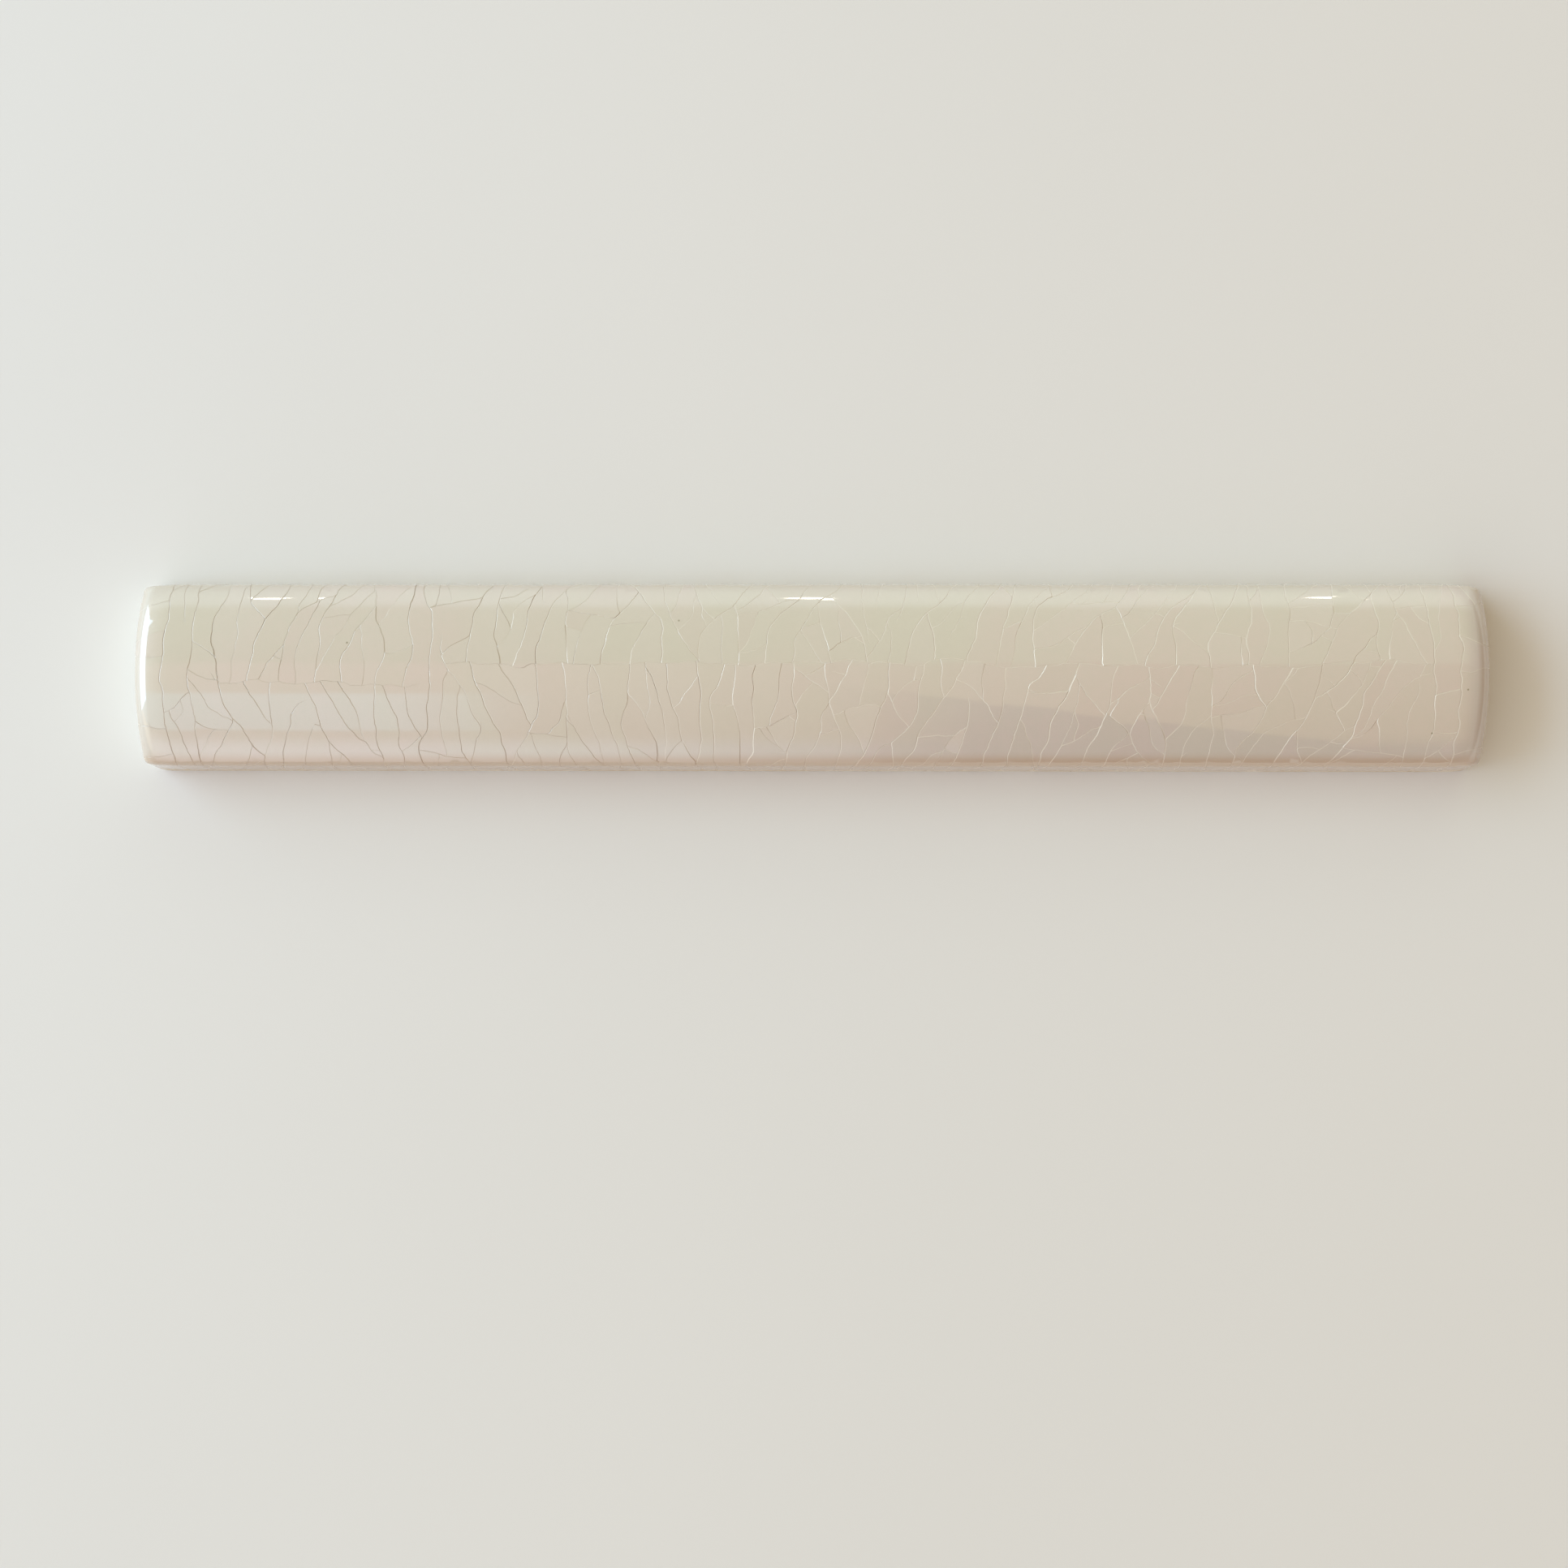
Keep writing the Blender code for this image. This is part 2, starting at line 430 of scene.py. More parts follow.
def squares_of(a, b, room=0.0):
    """The squares of the map that lie round the step from a to b, with room to spare."""
    columns, rows = (
        range(int((min(p, q) - room) // SQUARE), int((max(p, q) + room) // SQUARE) + 1)
        for p, q in zip(a, b))
    for i in columns:
        for j in rows:
            yield i, j


class Net:
    """All cracks on the map. Each one stops where it meets another."""

    def __init__(self, face, craze):
        self.face = face
        self.craze = craze
        self.random = random.Random(craze.seed)
        self.cracks = []
        self.squares = {}

    def inside(self, point):
        """Whether a crack may reach this place on the map."""
        along, across = abs(point.x), abs(point.y)
        face = self.face
        if along > face.roll_arc - CORNER_GAP:
            return across < face.shoulder_arc - CORNER_GAP and along < face.along - RIM_GAP
        return across < face.across - RIM_GAP

    def met(self, a, b):
        """Where the step from a to b first meets an older crack, or nothing."""
        first, place = 2.0, None
        for square in squares_of(a, b):
            for c, d in self.squares.get(square, ()):
                hit = geometry.intersect_line_line_2d(a, b, c, d)
                if hit and (hit - a).length < first:
                    first, place = (hit - a).length, hit
        return place

    def nearest(self, place, reach):
        """The nearest point of any crack and its distance, or the reach if none is nearer."""
        best, foot = reach, None
        for square in squares_of(place, place, reach):
            for a, b in self.squares.get(square, ()):
                run = b - a
                t = min(max((place - a).dot(run) / run.length_squared, 0), 1)
                gap = (place - a - run * t).length
                if gap < best:
                    best, foot = gap, a + run * t
        return best, foot

    def drawn(self, place, step):
        """Turn a step towards an older crack that lies close ahead."""
        gap, foot = self.nearest(place + step, PULL)
        if foot is None or gap < TOUCHING:
            return step
        pull = (foot - place).normalized()
        if pull.dot(step) < LEAST_AHEAD:
            return step
        return (step.normalized().lerp(pull, 1 - gap / PULL)).normalized() * STEP

    def trace(self, start, course, reach):
        """Points of a crack from start, where course(place) gives its direction in radians.

        The second value tells whether it ran out of reach before it met anything.
        """
        points, sway, met = [start], 0.0, None
        while not met:
            if len(points) * STEP > reach:
                return points, True
            sway = SWAY_KEPT * sway + self.random.gauss(0, SWAY)
            angle = course(points[-1]) + sway
            step = STEP * Vector((math.cos(angle), math.sin(angle)))
            if len(points) > PULL_STEPS:
                step = self.drawn(points[-1], step)
            ahead = points[-1] + step
            if not self.inside(ahead):
                break
            clear = points[-1].lerp(ahead, STEP_CLEAR) if len(points) == 1 else points[-1]
            met = self.met(clear, ahead)
            points.append(met or ahead)
        return points, False

    def add(self, points, shares, free_start=False, free_end=False):
        """Keep a path as a crack, and sort its steps so that later ones can meet it."""
        if len(points) < FEWEST_POINTS:
            return
        width = self.craze.width * self.random.uniform(*shares)
        self.cracks.append(Crack(points, width, free_start, free_end))
        for a, b in zip(points, points[1:]):
            for square in squares_of(a, b):
                self.squares.setdefault(square, []).append((a, b))

    def grow(self, start, course, reach, shares):
        """Trace a crack from an older one and keep it."""
        points, free = self.trace(start, course, reach)
        self.add(points, shares, free_end=free)


# How far in from each roll the end cracks stand, how far they bow out at the crown, and how
# strongly they and the crown cracks are drawn back to their lines
END_INSETS = (1.9 * MM, 5.0 * MM)
END_BOW = 0.5 * MM
END_HOLD = 0.5
CROWN_HOLD = 0.3


def end_cracks(net):
    """Cracks that follow each end, a few millimetres in from the roll."""
    face = net.face
    top = face.across - RIM_GAP - STEP
    for end in (-1, 1):
        for inset in END_INSETS:
            base = end * (face.straight - inset)

            def follow_end(place, level=base, end=end):
                bow = end * END_BOW * (1 - (place.y / face.across) ** 2)
                return math.atan2(-STEP, END_HOLD * (level + bow - place.x))

            net.grow(Vector((base, top)), follow_end, 3 * top, MAIN_SHARES)


def crown_cracks(net):
    """The fine long cracks along the crown, which the others run up to."""
    for start, end, shift in CROWNS:
        def along_crown(place, level=shift):
            return math.atan2(CROWN_HOLD * (level - place.y), STEP)

        net.grow(Vector((start, shift)), along_crown, end - start, CROWN_SHARES)


def crown_point(net, place):
    """The point of the crown crack at a distance along the tile, or nothing."""
    for crack in net.cracks:
        first, last = crack.points[0], crack.points[-1]
        if first.x < place < last.x and last.x - first.x > abs(last.y - first.y):
            for a, b in zip(crack.points, crack.points[1:]):
                if a.x <= place <= b.x:
                    return a.lerp(b, (place - a.x) / max(b.x - a.x, ROUNDING))
    return None


# Slope of the main cracks behind the crown: at the crown, and how much more further out.
# In front of it they stand upright at one place, and lean more with each millimetre from it.
BACK_SLOPES = (0.05, 0.75)
BACK_SLOPE_ENDS = (1 * MM, 8 * MM)
FRONT_SLOPE = 0.0105
UPRIGHT_PLACE = -14 * MM

# Room kept free of main cracks at the left and right end, and how far a main crack may run
MAIN_ENDS = (7.5 * MM, 6.5 * MM)
MAIN_REACH = 40 * MM

# How much a main crack follows that slope, the share that lean the other way, and how much
MAIN_LEANS = (0.4, 1.3)
CONTRARY_SHARE = 0.25
CONTRARY_LEANS = (-0.4, 0.1)


def lean(place, way, share):
    """Slope along the tile for each step outwards that main cracks follow at this place."""
    if way > 0:
        at_crown, further = BACK_SLOPES
        return share * (at_crown + further * smooth(abs(place.y), *BACK_SLOPE_ENDS))
    return -share * FRONT_SLOPE * (place.x - UPRIGHT_PLACE) / MM


def main_cracks(net):
    """Cracks that run from the crown over each shoulder, leaning as the face cooled."""
    face = net.face
    starts = []
    for way in (1, -1):
        place = -face.straight + MAIN_ENDS[0]
        while place < face.straight - MAIN_ENDS[1]:
            crown = crown_point(net, place)
            if crown:
                starts.append((crown, way))
            elif way > 0:
                starts += [(Vector((place, 0)), 1), (Vector((place, 0)), -1)]
            place += net.random.uniform(net.craze.closest, net.craze.widest)
    net.random.shuffle(starts)
    for start, way in starts:
        share = net.random.uniform(*MAIN_LEANS)
        if net.random.random() < CONTRARY_SHARE:
            share = net.random.uniform(*CONTRARY_LEANS)

        def course(at, way=way, share=share):
            return math.atan2(way, lean(at, way, share))

        net.grow(start, course, MAIN_REACH, MAIN_SHARES)


# Cracks over the end rolls: room before the first and after the last, where the outer end
# crack is looked for and how far on, their spacing, slant and reach
OVER_ENDS = (2 * MM, 1.5 * MM)
OVER_INSET = 4.5 * MM
OVER_SEEK = 6 * MM
OVER_SPACINGS = (2.4 * MM, 4.2 * MM)
OVER_SLANT = 0.3
OVER_REACH = 14 * MM


def end_wall_cracks(net):
    """Cracks that leave the outer end crack and run over the roll to the glaze line."""
    face = net.face
    for end in (-1, 1):
        level = -face.shoulder_arc + OVER_ENDS[0]
        while level < face.shoulder_arc - OVER_ENDS[1]:
            place = Vector((end * (face.straight - OVER_INSET), level))
            hit = net.met(place, place + Vector((end * OVER_SEEK, 0)))
            slant = net.random.gauss(0, OVER_SLANT)

            def course(at, end=end, slant=slant):
                return math.atan2(slant, end)

            if hit:
                net.grow(hit, course, OVER_REACH, FINE_SHARES)
            level += net.random.uniform(*OVER_SPACINGS)


# Cracks from the glaze line: how far inside the rim they start, their slant and reach
RIM_START = 0.1 * MM
RIM_SLANT = 0.6
RIM_REACHES = (3 * MM, 10 * MM)


def rim_cracks(net):
    """Cracks that start at the glaze line and run inwards until they meet another."""
    face = net.face
    for _ in range(net.craze.rim_cracks):
        way = net.random.choice((-1, 1))
        across = -way * (face.across - RIM_GAP - RIM_START)
        start = Vector((net.random.uniform(-face.straight, face.straight), across))
        slant = net.random.gauss(0, RIM_SLANT)
        reach = net.random.uniform(*RIM_REACHES)

        def course(at, way=way, slant=slant):
            return math.atan2(way, slant)

        if net.nearest(start, PULL)[1] is None:
            net.grow(start, course, reach, FINE_SHARES)


# How often a wide patch is looked for, how much a crack that splits one follows the main
# slope, the choice of turns from it and their size in radians, and its reach each way
SPLIT_TRIES = 3000
SPLIT_LEANS = (0.5, 1.3)
SPLIT_TURNS = (0.0, 0.0, -1.0, 1.0)
SPLIT_TURN_SIZES = (0.6, 1.2)
SPLIT_REACH = 9 * MM


def splitting_cracks(net):
    """Cracks that split the patches that are still too wide."""
    face = net.face
    for _ in range(SPLIT_TRIES):
        place = Vector((
            net.random.uniform(-face.straight, face.straight),
            net.random.uniform(-face.across, face.across)))
        gap = net.nearest(place, net.craze.room)[0]
        if gap < net.craze.room or not net.inside(place):
            continue
        share = net.random.uniform(*SPLIT_LEANS)
        turn = net.random.choice(SPLIT_TURNS) * net.random.uniform(*SPLIT_TURN_SIZES)
        half = 1 if place.y > 0 else -1
        first = math.atan2(1, half * lean(place, half, share)) + turn

        def onward(at, first=first):
            return first

        def backward(at, first=first):
            return first + math.pi

        ahead, free_end = net.trace(place, onward, SPLIT_REACH)
        behind, free_start = net.trace(place, backward, SPLIT_REACH)
        net.add(behind[:0:-1] + ahead, FINE_SHARES, free_start, free_end)


# Bridging cracks: the angles in degrees at which they leave, their bend for each
# millimetre, the share of short ones, the reach of those in millimetres and of the others,
# and the least distance between two
BRIDGE_ANGLES = (40, 85)
BRIDGE_BEND = 0.12
SHORT_SHARE = 0.25
SHORT_REACHES = (0.9, 1.8)
BRIDGE_REACH = 5 * MM
BRIDGE_GAP = 1.5 * MM

# This share of them is kept at the left end, and it grows to all between these two places
LEFT_KEPT = 0.6
LEFT_ENDS = (-20 * MM, 30 * MM)

# The fewest points of a crack that a bridging crack may leave
FEWEST_PARENT_POINTS = 5


def bridging_cracks(net):
    """Short cracks that leave the side of a longer one, and mostly run on to the next."""
    origins = []
    while len(origins) < net.craze.bridges:
        parent = net.random.choice(net.cracks)
        i = net.random.randrange(len(parent.points) - 1)
        origin = parent.points[i].lerp(parent.points[i + 1], 0.5)
        run = parent.points[i + 1] - parent.points[i]
        turn = net.random.choice((-1, 1)) * math.radians(net.random.uniform(*BRIDGE_ANGLES))
        first = math.atan2(run.y, run.x) + turn
        bend = net.random.gauss(0, BRIDGE_BEND) / MM
        short = net.random.random() < SHORT_SHARE
        reach = net.random.uniform(*SHORT_REACHES) * MM if short else BRIDGE_REACH
        crowded = any((origin - other).length < BRIDGE_GAP for other in origins)
        kept = LEFT_KEPT + (1 - LEFT_KEPT) * smooth(origin.x, *LEFT_ENDS)
        left_out = net.random.random() > kept
        origins.append(origin)
        if crowded or left_out or len(parent.points) < FEWEST_PARENT_POINTS:
            continue

        def course(at, first=first, bend=bend, origin=origin):
            return first + bend * (at - origin).length

        points, free = net.trace(origin, course, reach)
        if short or not free:
            net.add(points, FINE_SHARES, free_end=free)


def craze_net(face, craze):
    """Grow the whole net, longest cracks first."""
    net = Net(face, craze)
    end_cracks(net)
    crown_cracks(net)
    main_cracks(net)
    end_wall_cracks(net)
    rim_cracks(net)
    splitting_cracks(net)
    bridging_cracks(net)
    return net


# Pits left by gas in the glaze, as places on the map, with their radius and the number of
# points round each
PITS = (
    (-14.5 * MM, 6.0 * MM),
    (72.0 * MM, -1.7 * MM),
    (68.5 * MM, -6.6 * MM),
    (-51 * MM, 3.4 * MM),
)
PIT_RADIUS = 0.12 * MM
PIT_STEPS = 10

# The mesh's own grid keeps this far from a crack
CLEAR = 0.1 * MM


class Grooves:
    """How deep a place on the map lies in a crack, in shares of a main crack's depth."""

    def __init__(self, net):
        self.squares = {}
        self.full = net.craze.width / 2
        for crack in net.cracks:
            for i, (a, b) in enumerate(zip(crack.points, crack.points[1:])):
                self.sort(a, b, crack.widths[i] / 2, crack.widths[i + 1] / 2)

    def sort(self, a, b, half_a, half_b):
        """File one step under each square that it or its width reaches."""
        room = max(half_a, half_b) + CLEAR
        for square in squares_of(a, b, room):
            self.squares.setdefault(square, []).append((a, b, half_a, half_b))

    def share(self, place, spare=0.0):
        """Depth share at a place. Spare widens every crack by that much first."""
        best = 0.0
        square = (int(place.x // SQUARE), int(place.y // SQUARE))
        for a, b, half_a, half_b in self.squares.get(square, ()):
            run = b - a
            t = min(max((place - a).dot(run) / run.length_squared, 0), 1)
            half = half_a + (half_b - half_a) * t + spare
            best = max(best, (half - (place - a - run * t).length) / self.full)
        return best


# Glaze mesh


# Spacing of the mesh on the map
DOME_SPACING = 0.75 * MM
ALONG_SPACING = 1.3 * MM
SHOULDER_ROWS = 10
SIDE_SPACING = 0.55 * MM
ROLL_COLUMNS = 12
WALL_SPACING = 0.6 * MM
LIP_ROWS = (0.02 * MM, 0.06 * MM, 0.14 * MM, 0.3 * MM, 0.55 * MM)


def spaced(low, high, spacing):
    """Evenly spaced values from low to high, both included, about as far apart as asked."""
    return list(np.linspace(low, high, max(2, round((high - low) / spacing) + 1)))


def mirrored(values):
    """Values and their negatives, in order, without repeats."""
    return sorted({round(v, 9) for v in values} | {round(-v, 9) for v in values})


def map_rows(face):
    """Distances across the section that the mesh has rows at."""
    rows = spaced(0, face.dome_arc, DOME_SPACING)
    rows += list(np.linspace(face.dome_arc, face.shoulder_arc, SHOULDER_ROWS + 1))
    rows += spaced(face.shoulder_arc, face.across - LIP_ROWS[-1], SIDE_SPACING)
    rows += [face.across - lip for lip in LIP_ROWS] + [face.across]
    return mirrored(rows)


def map_columns(face):
    """Distances along the tile that the mesh has columns at."""
    columns = spaced(0, face.straight, ALONG_SPACING)
    columns += list(np.linspace(face.straight, face.roll_arc, ROLL_COLUMNS + 1))
    columns += spaced(face.roll_arc, face.along - LIP_ROWS[-1], WALL_SPACING)
    columns += [face.along - lip for lip in LIP_ROWS] + [face.along]
    return mirrored(columns)


def map_outline(face, rows, columns):
    """The map's border, as a closed loop of places: a bar with a narrower flap at each end.

    The sides of a flap have their places at the same heights as the side of the bar that
    they fold down to, so that the two can be welded.
    """
    corner_rows = [r for r in rows if r >= face.shoulder_arc - ROUNDING]
    drop = face.across - face.shoulder_arc
    fall = face.along - face.roll_arc
    side = [(c, face.across) for c in columns if abs(c) <= face.roll_arc + ROUNDING]
    corner = [(face.roll_arc, r) for r in corner_rows[::-1]]
    flap = [
        (face.roll_arc + fall * (r - face.shoulder_arc) / drop, face.shoulder_arc)
        for r in corner_rows]
    far = [(face.along, r) for r in rows[::-1] if abs(r) <= face.shoulder_arc + ROUNDING]
    quarter = corner + flap
    right = quarter + far + [(x, -y) for x, y in quarter[::-1]]
    loop = side + right + [(-x, -y) for x, y in side] + [(-x, -y) for x, y in right]
    places = []
    for place in loop:
        if not places or math.dist(place, places[-1]) > SAME_PLACE:
            places.append(place)
    if math.dist(places[0], places[-1]) < SAME_PLACE:
        places.pop()
    return places


def map_grid(face, rows, columns):
    """Places inside the map on its rows and columns."""
    bar = (face.roll_arc - SAME_PLACE, face.across - SAME_PLACE)
    flap = (face.along - SAME_PLACE, face.shoulder_arc - SAME_PLACE)
    return [
        (x, y) for x in columns for y in rows
        if any(abs(x) < far and abs(y) < wide for far, wide in (bar, flap))]


def crack_rails(crack):
    """The two edges of a crack as lists of places."""
    rails = ([], [])
    points = crack.points
    for i, point in enumerate(points):
        run = points[min(i + 1, len(points) - 1)] - points[max(i - 1, 0)]
        across = Vector((-run.y, run.x)).normalized() * crack.widths[i] / 2
        rails[0].append(point + across)
        rails[1].append(point - across)
    return rails


# Triangulation: keep what lies inside the border, and join places nearer than this many
# millimetres
INSIDE_ONLY = 1
JOIN_REACH = 1e-5


class FlatMesh:
    """Places and edges on the map, joined into triangles."""

    def __init__(self):
        self.places = []
        self.edges = []

    def chain(self, places, closed=False):
        """Add places joined in a row."""
        first = len(self.places)
        self.places += [Vector(p) for p in places]
        self.edges += [(i, i + 1) for i in range(first, len(self.places) - 1)]
        if closed:
            self.edges.append((len(self.places) - 1, first))

    def triangles(self, face):
        """The places and the triangles between them, without those in the map's notches."""
        scaled = [p / MM for p in self.places]
        made = geometry.delaunay_2d_cdt(scaled, self.edges, [], INSIDE_ONLY, JOIN_REACH, False)
        places = [p * MM for p in made[0]]
        on_map = []
        for corners in made[2]:
            middle = sum((places[i] for i in corners), Vector((0, 0))) / 3
            if abs(middle.x) < face.roll_arc or abs(middle.y) < face.shoulder_arc:
                on_map.append(corners)
        return places, on_map


def glaze_map(face, net, grooves):
    """Triangles over the whole map, with an edge along both rims and the root of each crack."""
    rows, columns = map_rows(face), map_columns(face)
    flat = FlatMesh()
    flat.chain(map_outline(face, rows, columns), closed=True)
    for crack in net.cracks:
        flat.chain(crack.points)
        for rail in crack_rails(crack):
            flat.chain(rail)
    for x, y in PITS:
        flat.places.append(Vector((x, y)))
        turns = [2 * math.pi * i / PIT_STEPS for i in range(PIT_STEPS)]
        ring = [(x + PIT_RADIUS * math.cos(a), y + PIT_RADIUS * math.sin(a)) for a in turns]
        flat.chain(ring, closed=True)
    for place in map_grid(face, rows, columns):
        place = Vector(place)
        if grooves.share(place, CLEAR) <= 0:
            flat.places.append(place)
    return flat.triangles(face)


def inner_map(face):
    """Plain triangles over the map, for the underside of the glaze."""
    rows, columns = map_rows(face), map_columns(face)
    flat = FlatMesh()
    flat.chain(map_outline(face, rows, columns), closed=True)
    flat.places += [Vector(p) for p in map_grid(face, rows, columns)]
    return flat.triangles(face)


def patches(triangles, open_faces):
    """Number the patches of glaze that the cracks divide it into, one number a triangle."""
    owner = list(range(len(triangles)))

    def root(i):
        while owner[i] != i:
            owner[i] = owner[owner[i]]
            i = owner[i]
        return i

    by_edge = {}
    for index, corners in enumerate(triangles):
        if open_faces[index]:
            for a, b in zip(corners, corners[1:] + corners[:1]):
                other = by_edge.setdefault((min(a, b), max(a, b)), index)
                if other != index:
                    owner[root(index)] = root(other)
    return [root(i) for i in range(len(triangles))]


def pit_share(place):
    """How deep a place lies in a pit, from 0 at its edge to 1 at its middle."""
    return max(1 - math.dist(place, pit) / PIT_RADIUS for pit in PITS)


# Points nearer than this are one
WELD_REACH = 0.001 * MM


def weld(points, held):
    """Number of each point, with held points in the same place given one number."""
    tree = kdtree.KDTree(len(held))
    for i in held:
        tree.insert(points[i], i)
    tree.balance()
    number = np.arange(len(points))
    for i in held:
        number[i] = min(found[1] for found in tree.find_range(points[i], WELD_REACH))
    return number


# How far the underside of the glaze lies inside the clay's surface
UNDER_DEPTH = 0.05 * MM

# The longest patch that leans in full, and how far before an end roll and before the glaze
# line the lean fades out
CALM_SIZE = 4 * MM
CALM_END = 3 * MM
CALM_RIM = 1.5 * MM

# Over what length the painted shade comes on towards the front shoulder, and how thin the
# glaze is along the back shoulder and how far that spreads
FRONT_SHADE_SPAN = 2.2 * MM
BACK_THINNESS = 0.3
BACK_SPREAD = 0.5 * MM

# How thin the glaze is over an end roll, and in shares of the way round it where it is
# thinnest and how far that spreads
END_THINNESS = 0.45
END_MIDDLE = 0.6
END_SPREAD = 0.32

# How far the shading turns from the glaze's own to the wall of a crack, at the crack's rim
# and at its root. A corner that is sunk less than this share of the depth is on the rim.
RIM_TURN = 0.3
ROOT_TURN = 1.12
RIM_SUNK = 0.1


class GlazeMesh:
    """The glaze as one closed skin: crazed on top, plain below, joined round the glaze line."""

    def __init__(self, face, craze):
        self.face = face
        self.craze = craze
        net = craze_net(face, craze)
        grooves = Grooves(net)
        top, top_faces = glaze_map(face, net, grooves)
        under, under_faces = inner_map(face)
        self.top_count, self.top_faces = len(top), len(top_faces)
        self.along = np.array([p.x for p in top + under])
        self.across = np.array([p.y for p in top + under])
        self.gap = face.border_gap(self.along, self.across)
        faces = top_faces + [[i + self.top_count for i in t[::-1]] for t in under_faces]
        self.faces = self.joined(faces)

        in_crack = [max(grooves.share(p), 0) for p in top]
        in_pit = [max(pit_share(p), 0) for p in top]
        self.sunk = np.zeros(len(self.along))
        self.sunk[:self.top_count] = np.maximum(in_crack, in_pit)
        middles = [sum((top[i] for i in t), Vector((0, 0))) / 3 for t in top_faces]
        kinds = [2 if pit_share(m) > 0 else 1 if grooves.share(m) > 0 else 0 for m in middles]
        self.kinds = kinds + [0] * len(under_faces)
        self.patch = patches(self.faces[:self.top_faces], [kind == 0 for kind in kinds])
        self.lean_patches()

    def joined(self, faces):
        """Close the upright corners of both sheets, and join the sheets round the glaze line."""
        points, _, above = self.face.surface(self.along, self.across)
        border = np.flatnonzero(self.gap < WELD_REACH)
        number = weld(points, border[border < self.top_count])
        number = number[weld(points, border[border >= self.top_count])]
        number = number[weld(points, np.flatnonzero(above < WELD_REACH))]
        return [tuple(int(number[i]) for i in corners) for corners in faces]

    def lean_patches(self):
        """Lean each patch between cracks a little its own way, about its own middle."""
        chance = random.Random(self.craze.seed + 1)
        corners = {}
        for number, kind, face in zip(self.patch, self.kinds, self.faces):
            if kind == 0:
                corners.setdefault(number, set()).update(face)
        count = len(self.along)
        self.slope_along, self.slope_across = np.zeros(count), np.zeros(count)
        self.extra = np.zeros(count)
        self.tone = {}
        for number in sorted(corners):
            held = np.array(sorted(corners[number]))
            size = max(np.ptp(self.along[held]), np.ptp(self.across[held]))
            calm = min(1.0, CALM_SIZE / size)
            slope_a = chance.gauss(0, self.craze.tilt) * calm
            slope_b = chance.gauss(0, self.craze.tilt) * calm
            self.tone[number] = chance.uniform(-1, 1)
            fade = smooth(self.gap[held], 0, CALM_RIM)
            straight = self.face.straight
            fade = fade * (1 - smooth(np.abs(self.along[held]), straight - CALM_END, straight))
            self.slope_along[held] = slope_a * fade
            self.slope_across[held] = slope_b * fade
            off_a = self.along[held] - self.along[held].mean()
            off_b = self.across[held] - self.across[held].mean()
            self.extra[held] = (slope_a * off_a + slope_b * off_b) * fade

    def thinness_and_front_shade(self):
        """Thin glaze on the back shoulder and end rolls, and painted shade down the front, 0 to 1.
        """
        face = self.face
        middle = (face.dome_arc + face.shoulder_arc) / 2
        # Painted shade: the browner tone ramps up towards the front shoulder and stays on down the
        # front side
        front = smooth(-self.across, middle - FRONT_SHADE_SPAN, middle)
        back = BACK_THINNESS * np.exp(-(((self.across - middle) / BACK_SPREAD) ** 2))
        round_end = (np.abs(self.along) - face.straight) / (face.roll_arc - face.straight)
        end = END_THINNESS * np.exp(-(((round_end - END_MIDDLE) / END_SPREAD) ** 2))
        return np.maximum.reduce([front, back, end])

    def points(self):
        """Every point of the skin: the top of the glaze, and its underside within the clay."""
        face = self.face
        top = face.glazed(self.along, self.across, self.extra - self.craze.depth * self.sunk)
        bare, outward, _ = face.surface(self.along, self.across)
        under = bare - outward * UNDER_DEPTH
        is_top = np.arange(len(top)) < self.top_count
        return np.where(is_top[:, None], top, under)

    def corner_normals(self, mesh, normals):
        """Normals of each face's corners: round over a crack's rims and sharp at its root."""
        flat = np.zeros(3 * len(self.faces))
        mesh.polygons.foreach_get("normal", flat)
        flat = np.repeat(flat.reshape(-1, 3), 3, axis=0)
        corners = np.array(self.faces).ravel()
        face = np.repeat(np.arange(len(self.faces)), 3)
        share = np.where(self.sunk[corners] < RIM_SUNK, RIM_TURN, ROOT_TURN)
        share = np.where(np.array(self.kinds)[face] == 0, 0.0, share)
        share = np.where(face < self.top_faces, share, 1.0)[:, None]
        return (normals[corners] * (1 - share) + flat * share).tolist()

    def build(self, name, materials):
        """Make the object, with a finish for the glaze, the craze lines and the pits."""
        normals = self.face.normals(
            self.along, self.across, self.extra, self.slope_along, self.slope_across)
        points, thin = self.points(), self.thinness_and_front_shade()
        kept = sorted({i for face in self.faces for i in face})
        place_of = {number: index for index, number in enumerate(kept)}
        faces = [tuple(place_of[i] for i in face) for face in self.faces]
        mesh = bpy.data.meshes.new(name)
        mesh.from_pydata([tuple(points[i]) for i in kept], [], faces)
        for material in materials:
            mesh.materials.append(material)
        mesh.polygons.foreach_set("material_index", self.kinds)
        tones = [self.tone.get(p, 0.0) for p in self.patch]
        tones += [0.0] * (len(faces) - self.top_faces)
        mesh.attributes.new("patch_tone", "FLOAT", "FACE").data.foreach_set("value", tones)
        mesh.attributes.new("thin_glaze", "FLOAT", "POINT").data.foreach_set("value", thin[kept])
        mesh.shade_smooth()
        mesh.update()
        mesh.normals_split_custom_set(self.corner_normals(mesh, normals))
        return bpy.data.objects.new(name, mesh)


# Finishes


